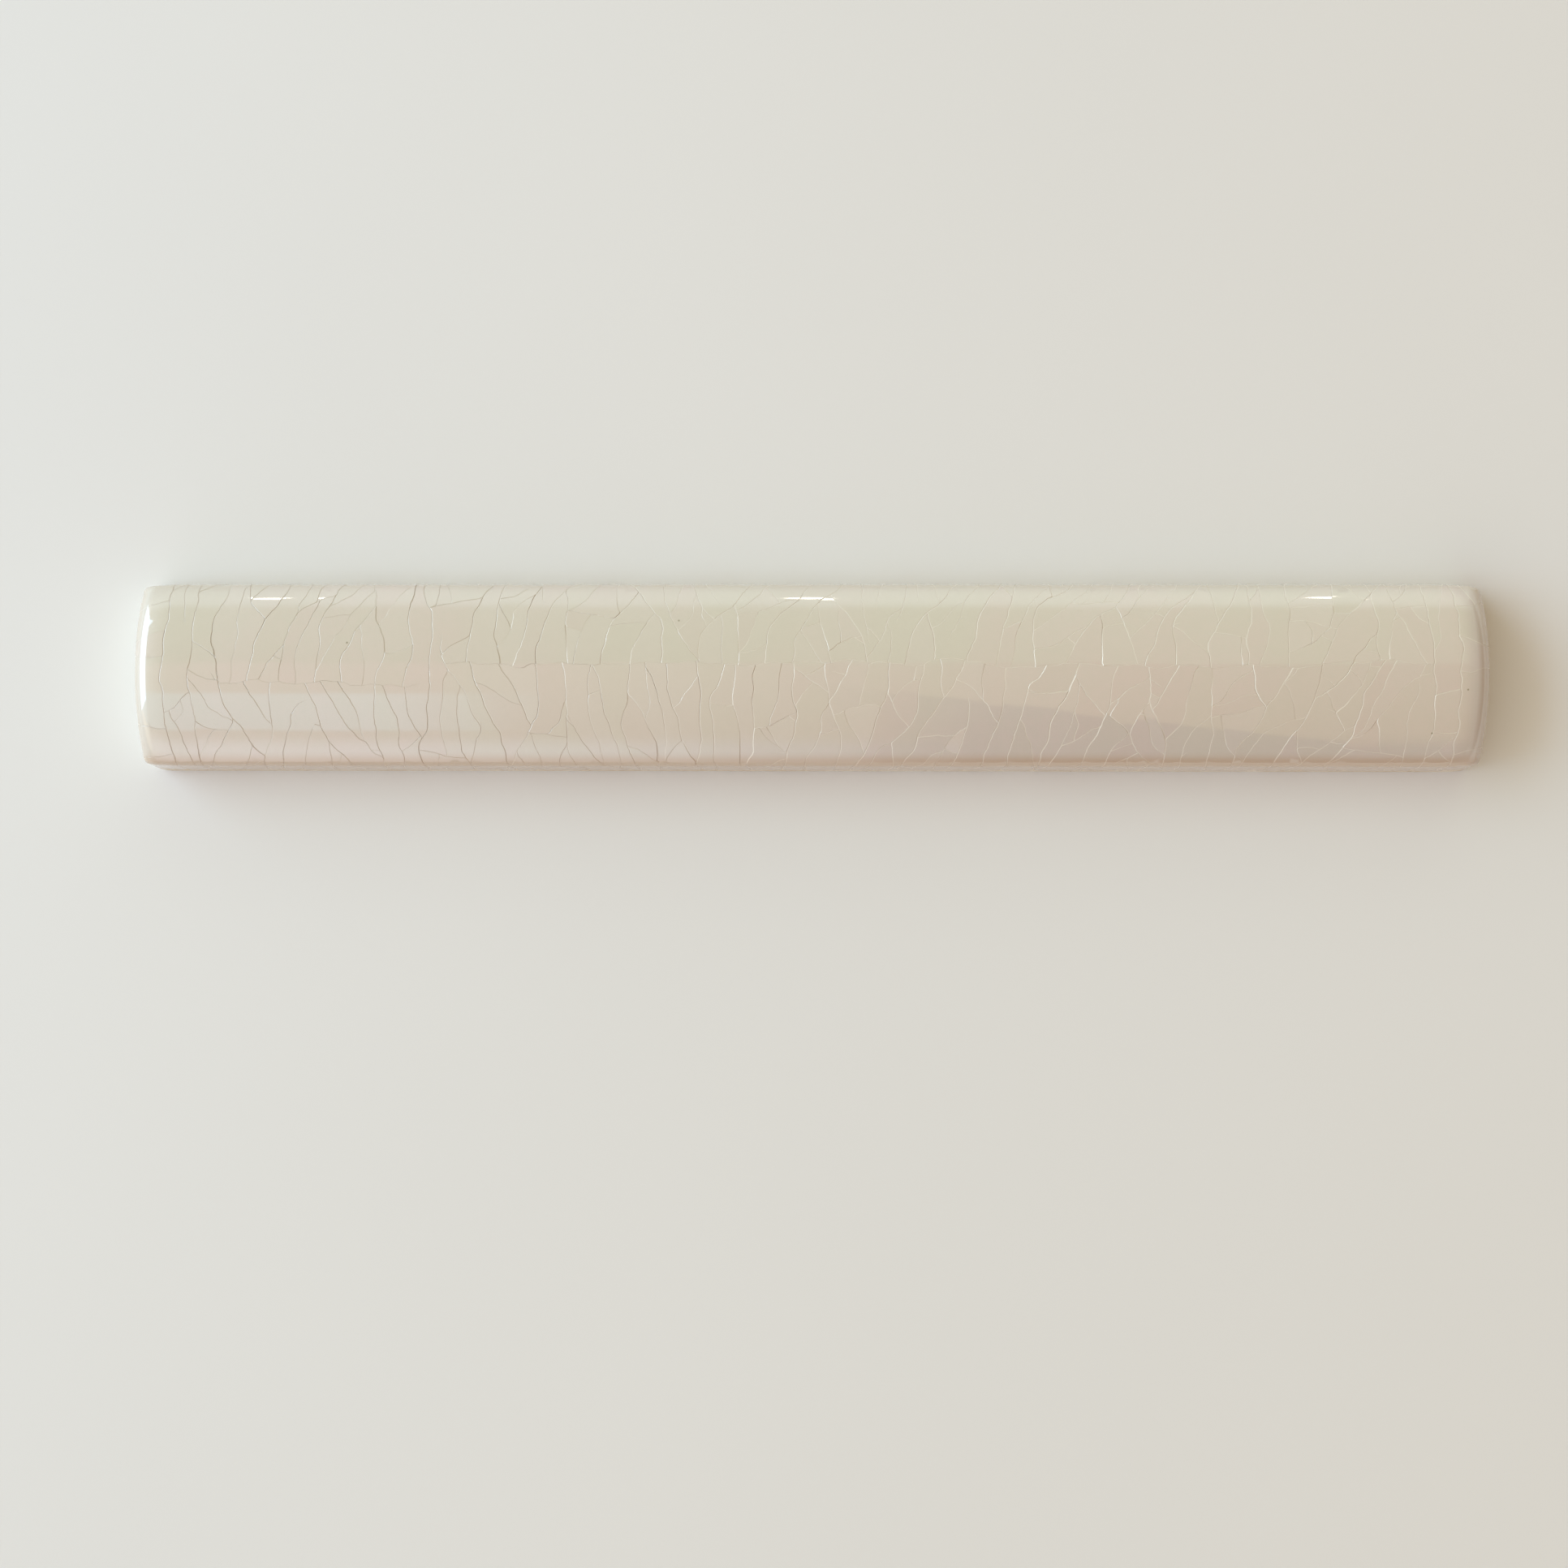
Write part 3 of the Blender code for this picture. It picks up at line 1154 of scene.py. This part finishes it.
class Finish:
    """A material under construction."""

    def __init__(self, name):
        self.material = bpy.data.materials.new(name)
        self.material.use_nodes = True
        self.nodes = self.material.node_tree.nodes
        self.links = self.material.node_tree.links
        self.shader = self.nodes["Principled BSDF"]

    def set(self, **values):
        """Set the shader's own sockets, named in lower case with underscores."""
        sockets = {s.name.lower().replace(" ", "_"): s for s in self.shader.inputs}
        for name, value in values.items():
            sockets[name].default_value = value

    def node(self, kind, **values):
        """Add a node and set its properties."""
        made = self.nodes.new(f"ShaderNode{kind}")
        for name, value in values.items():
            setattr(made, name, value)
        return made

    def place(self):
        """The object's own coordinates, in metres."""
        return self.node("TexCoord").outputs["Object"]

    def along(self, vector):
        """The part of a vector that lies along the tile."""
        split = self.node("SeparateXYZ")
        self.links.new(vector, split.inputs["Vector"])
        return split.outputs["X"]

    def cloud(self, size, detail=3.0, roughness=0.55):
        """Soft noise from 0 to 1 whose patches are about `size` across."""
        mapping = self.node("Mapping")
        mapping.inputs["Scale"].default_value = Vector((1, 1, 1)) / size
        texture = self.node("TexNoise")
        texture.inputs["Scale"].default_value = 1.0
        texture.inputs["Detail"].default_value = detail
        texture.inputs["Roughness"].default_value = roughness
        self.links.new(self.place(), mapping.inputs["Vector"])
        self.links.new(mapping.outputs["Vector"], texture.inputs["Vector"])
        return texture.outputs["Fac"]

    def attribute(self, name):
        """A value stored on the mesh."""
        return self.node("Attribute", attribute_name=name).outputs["Fac"]

    def span(self, value, low, high, to_low=0.0, to_high=1.0):
        """Map a value smoothly from one range to another."""
        node = self.node("MapRange", interpolation_type="SMOOTHSTEP")
        for socket, number in zip(node.inputs[1:5], (low, high, to_low, to_high)):
            socket.default_value = number
        self.links.new(value, node.inputs["Value"])
        return node.outputs["Result"]

    def blend(self, share, first, second, mode="MIX"):
        """Mix two colours, each a colour or another node's output."""
        node = self.node("Mix", data_type="RGBA", blend_type=mode)
        for socket, colour in ((node.inputs[6], first), (node.inputs[7], second)):
            if isinstance(colour, bpy.types.NodeSocket):
                self.links.new(colour, socket)
            else:
                socket.default_value = (*colour, 1.0)
        if isinstance(share, bpy.types.NodeSocket):
            self.links.new(share, node.inputs[0])
        else:
            node.inputs[0].default_value = share
        return node.outputs[2]

    def bump(self, height, strength, distance):
        """Raise the surface by a height pattern."""
        node = self.node("Bump")
        node.inputs["Strength"].default_value = strength
        node.inputs["Distance"].default_value = distance
        self.links.new(height, node.inputs["Height"])
        self.links.new(node.outputs["Normal"], self.shader.inputs["Normal"])

    def colour(self, source):
        """Feed the base colour."""
        self.links.new(source, self.shader.inputs["Base Color"])

    def roughness(self, source):
        """Feed the roughness."""
        self.links.new(source, self.shader.inputs["Roughness"])


def shaded(colour, shade):
    """A colour made darker by a share."""
    return tuple(shade * part for part in colour)


# Refractive index of the glassy top, of what lies below it, and of clay and other dull stuff
GLAZE_IOR = 1.9
BODY_IOR = 1.5
DULL_IOR = 1.4

# The tints that the patches between cracks drift to
PATCH_ROSE = (0.99, 0.97, 0.97)
PATCH_GREEN = (0.98, 0.99, 0.97)

# Sizes of the slow drift of the ivory and of the fine mottling over it, how dark the
# mottling is and how much of it shows
DRIFT_SIZE = 22 * MM
MOTTLE_SIZE = 1.1 * MM
MOTTLE_SHADE = 0.97
MOTTLE_SHARE = 0.35

# How much of its own colour thin glaze and the painted shade down the front show at the most,
# and in the craze lines
THIN_AND_SHADE_SHARE = 0.85
THIN_AND_SHADE_CRAZE_SHARE = 0.8


def glaze_finish(coat):
    """Ivory glaze: a glassy coat over a soft body colour that drifts and pools."""
    finish = Finish("ivory_crackle_glaze")
    finish.set(metallic=0.0, ior=BODY_IOR)
    finish.set(coat_weight=1.0, coat_roughness=coat.gloss, coat_ior=GLAZE_IOR)
    drift = finish.span(finish.cloud(DRIFT_SIZE, detail=2.0), 0.35, 0.65)
    base = finish.blend(drift, coat.ivory, coat.blush)
    fine = finish.span(finish.cloud(MOTTLE_SIZE, detail=4.0), 0.3, 0.7)
    mottling = finish.span(fine, 0.0, 1.0, 0.0, MOTTLE_SHARE)
    base = finish.blend(mottling, base, shaded(coat.ivory, MOTTLE_SHADE))
    patch = finish.attribute("patch_tone")
    base = finish.blend(finish.span(patch, 0.0, 1.0), base, PATCH_ROSE, "MULTIPLY")
    base = finish.blend(finish.span(patch, -1.0, 0.0, 1.0, 0.0), base, PATCH_GREEN, "MULTIPLY")
    # Browner where the glaze runs thin over the back shoulder and end rolls, and painted shade
    # down the front shoulder and side
    thin = finish.span(finish.attribute("thin_glaze"), 0.0, 1.0, 0.0, THIN_AND_SHADE_SHARE)
    base = finish.blend(thin, base, coat.thin)
    finish.colour(base)
    finish.roughness(finish.span(finish.cloud(6 * MM), 0.3, 0.7, 0.28, 0.36))
    return finish.material


# Where along the tile the craze lines go from painted shade to painted light. The wall of a line
# that faces left, towards the window, is this much further ahead than a level one, and the other
# wall behind, so the lit wall is painted paler and the shaded wall darker.
LIT_CRAZE_SPAN = (-50 * MM, 10 * MM)
LIT_CRAZE_FACING = -60 * MM

# Roughness of the glassy top inside a craze line, and the tint of the dust in it
CRAZE_GLOSS = 0.3
CRAZE_DUST = (0.93, 0.92, 0.91)


def craze_finish(coat):
    """The walls of a craze line: painted shade to the left, painted light to the right and where
    they face the window.
    """
    finish = Finish("craze_line")
    finish.set(metallic=0.0, ior=BODY_IOR)
    finish.set(coat_weight=1.0, coat_roughness=CRAZE_GLOSS, coat_ior=GLAZE_IOR)
    # Painted light and shade: a wall that faces left is pushed towards the paler tone, one that
    # faces right towards the darker
    coordinates = finish.node("TexCoord")
    ahead = finish.node("Math", operation="MULTIPLY_ADD")
    finish.links.new(finish.along(coordinates.outputs["Normal"]), ahead.inputs[0])
    ahead.inputs[1].default_value = LIT_CRAZE_FACING
    finish.links.new(finish.along(coordinates.outputs["Object"]), ahead.inputs[2])
    clean = finish.span(ahead.outputs[0], *LIT_CRAZE_SPAN)
    base = finish.blend(clean, coat.shaded_craze, coat.clean)
    # The same browner tone in the craze lines: thin glaze, and painted shade down the front
    thin = finish.span(finish.attribute("thin_glaze"), 0.0, 1.0, 0.0, THIN_AND_SHADE_CRAZE_SHARE)
    base = finish.blend(thin, base, coat.thin)
    dust = finish.span(finish.cloud(3 * MM, detail=4.0), 0.35, 0.7)
    finish.colour(finish.blend(dust, base, CRAZE_DUST, "MULTIPLY"))
    finish.roughness(finish.span(finish.cloud(0.8 * MM), 0.3, 0.7, 0.3, 0.45))
    return finish.material


# The two tones that a gas pit drifts between
PIT_TONES = ((0.34, 0.30, 0.22), (0.46, 0.42, 0.31))


def pit_finish():
    """The inside of a gas pit: a smoky brown dot."""
    finish = Finish("gas_pit")
    finish.set(metallic=0.0, ior=BODY_IOR)
    finish.colour(finish.blend(finish.cloud(0.2 * MM), *PIT_TONES))
    finish.roughness(finish.span(finish.cloud(0.1 * MM), 0.3, 0.7, 0.3, 0.5))
    return finish.material


# Sizes of the bloom, the grain and the iron flecks in the bare clay, how dark the grain is
# and how high it stands
BLOOM_SIZE = 9 * MM
GRAIN_SIZE = 0.35 * MM
FLECK_SIZE = 0.7 * MM
GRAIN_SHADE = 0.82
GRAIN_HEIGHT = 0.08 * MM


def clay_finish(clay):
    """Bare fired clay: a chalky buff body with a pale bloom, iron flecks and fine grain."""
    finish = Finish("bare_fired_clay")
    finish.set(metallic=0.0, ior=DULL_IOR)
    bloom = finish.span(finish.cloud(BLOOM_SIZE, detail=5.0, roughness=0.65), 0.38, 0.62)
    base = finish.blend(bloom, clay.body, clay.dust)
    grain = finish.cloud(GRAIN_SIZE, detail=6.0, roughness=0.7)
    speckle = finish.span(grain, 0.35, 0.65, 0.0, 0.4)
    base = finish.blend(speckle, base, shaded(clay.body, GRAIN_SHADE))
    fleck = finish.span(finish.cloud(FLECK_SIZE, detail=2.0), 0.70, 0.74)
    base = finish.blend(fleck, base, clay.fleck)
    finish.colour(base)
    finish.roughness(finish.span(bloom, 0.0, 1.0, 0.82, 0.95))
    finish.bump(grain, 0.5, GRAIN_HEIGHT)
    return finish.material


class BORDERTILE_OT_bare_clay(bpy.types.Operator):
    """Give the pressed bar its bare fired clay."""

    bl_idname = "border_tile.bare_clay"
    bl_label = "Bare Clay"

    def execute(self, context):
        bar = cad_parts["border_tile"]
        clay = clay_finish(settings("clay"))
        for material_slot in bar.material_slots:
            material_slot.material = clay
        return {"FINISHED"}


class BORDERTILE_OT_crackle_glaze(bpy.types.Operator):
    """Glaze the face, sides and ends of the bar, and craze the glaze."""

    bl_idname = "border_tile.crackle_glaze"
    bl_label = "Crackle Glaze"

    def execute(self, context):
        coat = settings("glaze")
        face = Face(settings("bar"), coat)
        finishes = [glaze_finish(coat), craze_finish(coat), pit_finish()]
        glaze = GlazeMesh(face, settings("craze")).build("crackle_glaze", finishes)
        context.scene.collection.objects.link(glaze)
        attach(glaze, "root")
        return {"FINISHED"}


# Studio


# Focal length of the photograph's lens, in its pixels
FOCAL_PIXELS = 2158

# Where the hand-held camera stands over the tile, and how far it leans each way
CAMERA_PLACE = (-1.4 * MM, -10.8 * MM)
CAMERA_LEAN = (math.radians(-0.39), math.radians(0.44), math.radians(0.06))
SENSOR_WIDTH = 36.0
CLIP_START = 5 * MM

# The large soft light: how high it stands, how far off, how far towards the back it is
# moved, and its size
WINDOW_RISE = math.radians(28)
WINDOW_DISTANCE = 0.95
WINDOW_SHIFT = 0.3
WINDOW_SIZE = (1.1, 0.6)
WINDOW_COLOUR = (0.47, 0.70, 0.93)

# The row of small lamps: their places along the row, its distance and height
LAMP_PLACES = (-0.664, 0.013, 0.658)
LAMP_ROW = (1.87, 0.72)
LAMP_RADIUS = 0.03
LAMP_COLOUR = (1.0, 0.93, 0.80)

# Light of the room overhead, to the left and right of the tile: in front, and behind it.
# The back half begins a little past overhead.
FRONT_LIGHT = ((0.95, 0.73, 0.55), (0.56, 0.35, 0.15))
BACK_LIGHT = ((0.66, 0.62, 0.36), (0.72, 0.66, 0.37))
OVERHEAD_SPAN = 20
BACK_BEGINS = (10.5, 12.5)

# Panels of the room in front of that light, in the order in which they are laid. Each has
# its colours at the left and right, and then the degrees from overhead between which its
# left, right, front and back side fade out. The last number tells how many degrees further
# to the front its front and back sides lie for each degree to the right.
PANELS = {
    "far wall": ((1.15, 1.20, 1.10), (1.35, 1.40, 1.20), None, None, (57, 66), None, 0),
    "near wall": ((1.55, 1.50, 1.55), (0.10, 0.0, 0.0), None, None, None, (-62, -46), 0),
    "left wall": ((1.65, 1.48, 1.25), (1.65, 1.48, 1.25), None, (-50, -24), None, None, 0),
    "right wall": ((0.10, 0.0, 0.0), (0.10, 0.0, 0.0), (24, 36), None, None, None, 0),
    "left screen": (
        (1.15, 1.25, 1.25), (1.15, 1.25, 1.25), None, (-14, -8), (-46, -42), (-15, -11), 0),
    "dark corner": ((0.10, 0.0, 0.0), (0.10, 0.0, 0.0), (1, 6), None, None, (-3, -1), 3.0),
}

# Pale band all round the room, just over the table, and the heights in degrees at which it
# ends
SKIRTING = (0.76, 0.75, 0.72)
SKIRTING_ENDS = (8, 18)

# The table, the size of its faint clouds and how dark they are, and its dullness
TABLE_SIZE = 3.0
TABLE_CLOUD = 0.12
TABLE_SHADE = 0.985
TABLE_ROUGHNESS = 0.6


def table_finish(colour):
    """Pale table top: even, faintly clouded and almost dull."""
    finish = Finish("pale_table")
    finish.set(metallic=0.0, ior=DULL_IOR, roughness=TABLE_ROUGHNESS)
    cloud = finish.span(finish.cloud(TABLE_CLOUD, detail=2.0), 0.3, 0.7)
    finish.colour(finish.blend(cloud, colour, shaded(colour, TABLE_SHADE)))
    return finish.material


def make_table(studio):
    """A wide flat table under the tile."""
    mesh = bpy.data.meshes.new("table")
    half = TABLE_SIZE / 2
    corners = [(-half, -half, 0), (half, -half, 0), (half, half, 0), (-half, half, 0)]
    mesh.from_pydata(corners, [], [(0, 1, 2, 3)])
    mesh.materials.append(table_finish(studio.table))
    table = bpy.data.objects.new("table", mesh)
    bpy.context.scene.collection.objects.link(table)


def make_window(studio):
    """The large soft light, to the left of the tile."""
    data = bpy.data.lights.new("window", "AREA")
    data.shape = "RECTANGLE"
    data.size, data.size_y = WINDOW_SIZE
    data.energy = studio.window_power
    data.color = WINDOW_COLOUR
    window = bpy.data.objects.new("window", data)
    place = WINDOW_DISTANCE * Vector((-math.cos(WINDOW_RISE), 0, math.sin(WINDOW_RISE)))
    window.rotation_euler = place.to_track_quat("Z", "Y").to_euler()
    window.location = place + Vector((0, WINDOW_SHIFT, 0))
    bpy.context.scene.collection.objects.link(window)


def make_lamps(studio):
    """The row of small warm lamps beyond the tile, seen in its back shoulder."""
    for index, place in enumerate(LAMP_PLACES):
        data = bpy.data.lights.new(f"lamp_{index + 1}", "AREA")
        data.shape = "DISK"
        data.size = 2 * LAMP_RADIUS
        data.energy = studio.lamp_power
        data.color = LAMP_COLOUR
        lamp = bpy.data.objects.new(f"lamp_{index + 1}", data)
        lamp.location = (place, *LAMP_ROW)
        lamp.rotation_euler = Vector(lamp.location).to_track_quat("Z", "Y").to_euler()
        bpy.context.scene.collection.objects.link(lamp)


class Room:
    """The soft light of the room, drawn on the world by angle from overhead."""

    def __init__(self):
        self.world = bpy.data.worlds.new("room")
        bpy.context.scene.world = self.world
        self.world.use_nodes = True
        self.tree = self.world.node_tree
        sides = self.node("SeparateXYZ")
        self.tree.links.new(self.node("TexCoord").outputs["Generated"], sides.inputs["Vector"])
        self.across = self.math("ARCSINE", sides.outputs["X"], 0.0)
        self.back = self.math("ARCTAN2", sides.outputs["Y"], sides.outputs["Z"])
        self.height = self.math("ARCSINE", sides.outputs["Z"], 0.0)
        self.right = self.rise(self.across, -OVERHEAD_SPAN, OVERHEAD_SPAN)

    def node(self, kind, **values):
        """Add a node and set its properties."""
        made = self.tree.nodes.new(f"ShaderNode{kind}")
        for name, value in values.items():
            setattr(made, name, value)
        return made

    def feed(self, socket, value):
        """Link a socket to another node's output, or set it to a number or colour."""
        if isinstance(value, bpy.types.NodeSocket):
            self.tree.links.new(value, socket)
        else:
            socket.default_value = value

    def math(self, operation, first, second):
        """Combine two values."""
        made = self.node("Math", operation=operation)
        self.feed(made.inputs[0], first)
        self.feed(made.inputs[1], second)
        return made.outputs[0]

    def rise(self, angle, low, high):
        """0 below the lower angle in degrees, 1 above the higher one."""
        made = self.node("MapRange", interpolation_type="SMOOTHSTEP")
        made.inputs["From Min"].default_value = math.radians(low)
        made.inputs["From Max"].default_value = math.radians(high)
        self.tree.links.new(angle, made.inputs["Value"])
        return made.outputs["Result"]

    def blend(self, share, first, second):
        """Mix two colours."""
        made = self.node("Mix", data_type="RGBA")
        self.feed(made.inputs[0], share)
        for socket, colour in ((made.inputs[6], first), (made.inputs[7], second)):
            linked = isinstance(colour, bpy.types.NodeSocket)
            self.feed(socket, colour if linked else (*colour, 1.0))
        return made.outputs[2]

    def pair(self, colours):
        """The left and right colour, blended across."""
        return self.blend(self.right, *colours)

    def panel(self, light, left_colour, right_colour, left, right, front, back, slant):
        """Lay a panel over the light."""
        depth = self.math("MULTIPLY_ADD", self.across, slant)
        self.feed(depth.node.inputs[2], self.back)
        share = None
        for angle, span, falls in (
            (self.across, left, False), (self.across, right, True),
            (depth, front, False), (depth, back, True),
        ):
            if span:
                side = self.rise(angle, *span)
                side = self.math("SUBTRACT", 1.0, side) if falls else side
                share = self.math("MULTIPLY", share, side) if share else side
        return self.blend(share, light, self.pair((left_colour, right_colour)))


def make_room():
    """Lay out the light of the room."""
    room = Room()
    back = room.rise(room.back, *BACK_BEGINS)
    light = room.blend(back, room.pair(FRONT_LIGHT), room.pair(BACK_LIGHT))
    for panel in PANELS.values():
        light = room.panel(light, *panel)
    light = room.blend(room.rise(room.height, *SKIRTING_ENDS), SKIRTING, light)
    room.feed(room.tree.nodes["Background"].inputs["Color"], light)


def make_camera(studio):
    """Looks straight down on the tile from a hand's height, as the photograph does."""
    data = bpy.data.cameras.new("camera")
    data.sensor_width = SENSOR_WIDTH
    data.lens = SENSOR_WIDTH * FOCAL_PIXELS / PHOTO_PIXELS
    data.dof.use_dof = False
    data.clip_start = CLIP_START

    camera = bpy.data.objects.new("camera", data)
    camera.location = (*CAMERA_PLACE, studio.camera_height)
    camera.rotation_euler = CAMERA_LEAN
    bpy.context.scene.collection.objects.link(camera)
    bpy.context.scene.camera = camera


class BORDERTILE_OT_studio(bpy.types.Operator):
    """Lay the tile out on a pale table, under soft light and the camera."""

    bl_idname = "border_tile.studio"
    bl_label = "Studio"

    def execute(self, context):
        studio = settings("studio")
        make_table(studio)
        make_window(studio)
        make_lamps(studio)
        make_room()
        make_camera(studio)
        context.scene.view_settings.view_transform = "Standard"
        return {"FINISHED"}


class BORDERTILE_PT_panel(bpy.types.Panel):
    """Sizes, colours and steps of the tile."""

    bl_label = "Border Tile"
    bl_idname = "BORDERTILE_PT_panel"
    bl_space_type = "VIEW_3D"
    bl_region_type = "UI"
    bl_category = "Border Tile"

    def draw(self, context):
        for name in GROUPS:
            box = self.layout.box()
            box.label(text=name.capitalize())
            group = settings(name)
            for prop in group.bl_rna.properties:
                if prop.identifier not in ("rna_type", "name"):
                    box.prop(group, prop.identifier)
        for operator in OPERATORS:
            self.layout.operator(operator.bl_idname)


GROUPS = {
    "bar": BarShape,
    "glaze": GlazeCoat,
    "craze": CrazeNet,
    "clay": ClayFinish,
    "studio": StudioSetup,
}
OPERATORS = (BORDERTILE_OT_bare_clay, BORDERTILE_OT_crackle_glaze, BORDERTILE_OT_studio)


def register():
    for group in GROUPS.values():
        bpy.utils.register_class(group)
    for name, group in GROUPS.items():
        setattr(bpy.types.Scene, f"border_tile_{name}", bpy.props.PointerProperty(type=group))
    for operator in OPERATORS:
        bpy.utils.register_class(operator)
    bpy.utils.register_class(BORDERTILE_PT_panel)


def unregister():
    bpy.utils.unregister_class(BORDERTILE_PT_panel)
    for operator in reversed(OPERATORS):
        bpy.utils.unregister_class(operator)
    for name in GROUPS:
        delattr(bpy.types.Scene, f"border_tile_{name}")
    for group in reversed(GROUPS.values()):
        bpy.utils.unregister_class(group)


def main():
    register()
    bpy.ops.border_tile.bare_clay()
    bpy.ops.border_tile.crackle_glaze()
    bpy.ops.border_tile.studio()


if __name__ == "__main__":
    main()
